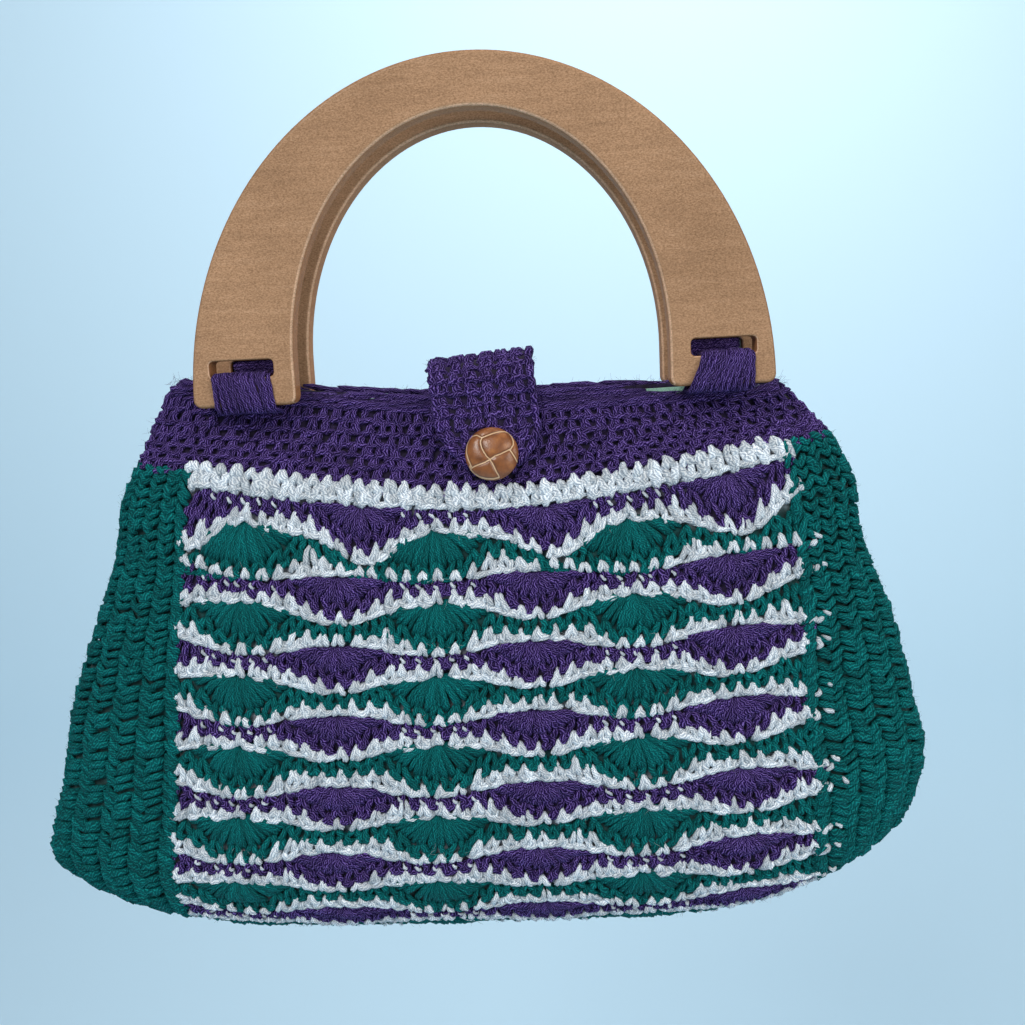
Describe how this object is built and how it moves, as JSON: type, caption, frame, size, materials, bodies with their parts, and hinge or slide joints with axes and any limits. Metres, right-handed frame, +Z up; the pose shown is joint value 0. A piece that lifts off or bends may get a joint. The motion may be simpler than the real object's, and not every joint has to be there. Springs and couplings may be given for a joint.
{
  "type": "crocheted handbag with wooden handles",
  "caption": "Crocheted yarn handbag in violet, green and white waves, with wooden D handles on yarn loops, a lining and a tab that a domed button closes.",
  "frame": {"origin": "the point that the bag hangs from: under the inner crowns of both handles, midway between them", "axes": "+X to the right seen from the front, +Y to the back, +Z up"},
  "size_m": [0.3355, 0.0542, 0.3186],
  "materials": {
    "wood": "tan stained wood with a satin lacquer and eased edges",
    "violet_yarn": "dark violet plied yarn, crocheted, slightly fuzzy",
    "panel_yarn": "violet, green and off-white plied yarn crocheted in waves of fans",
    "green_yarn": "blue-green plied yarn, crocheted in upright ribs",
    "lining_cloth": "light mint woven cloth",
    "button_leather": "glossy brown moulded leather look with pale grooves"
  },
  "bodies": {
    "root": {"handle_front": "wood", "handle_back": "wood", "loop_front_left": "violet_yarn", "loop_front_right": "violet_yarn", "loop_back_left": "violet_yarn", "loop_back_right": "violet_yarn", "band": "violet_yarn", "patterned_panel": "panel_yarn", "gusset_left": "green_yarn", "gusset_right": "green_yarn", "lining": "lining_cloth", "closure_tab": "violet_yarn", "button": "button_leather"}
  },
  "joints": []
}
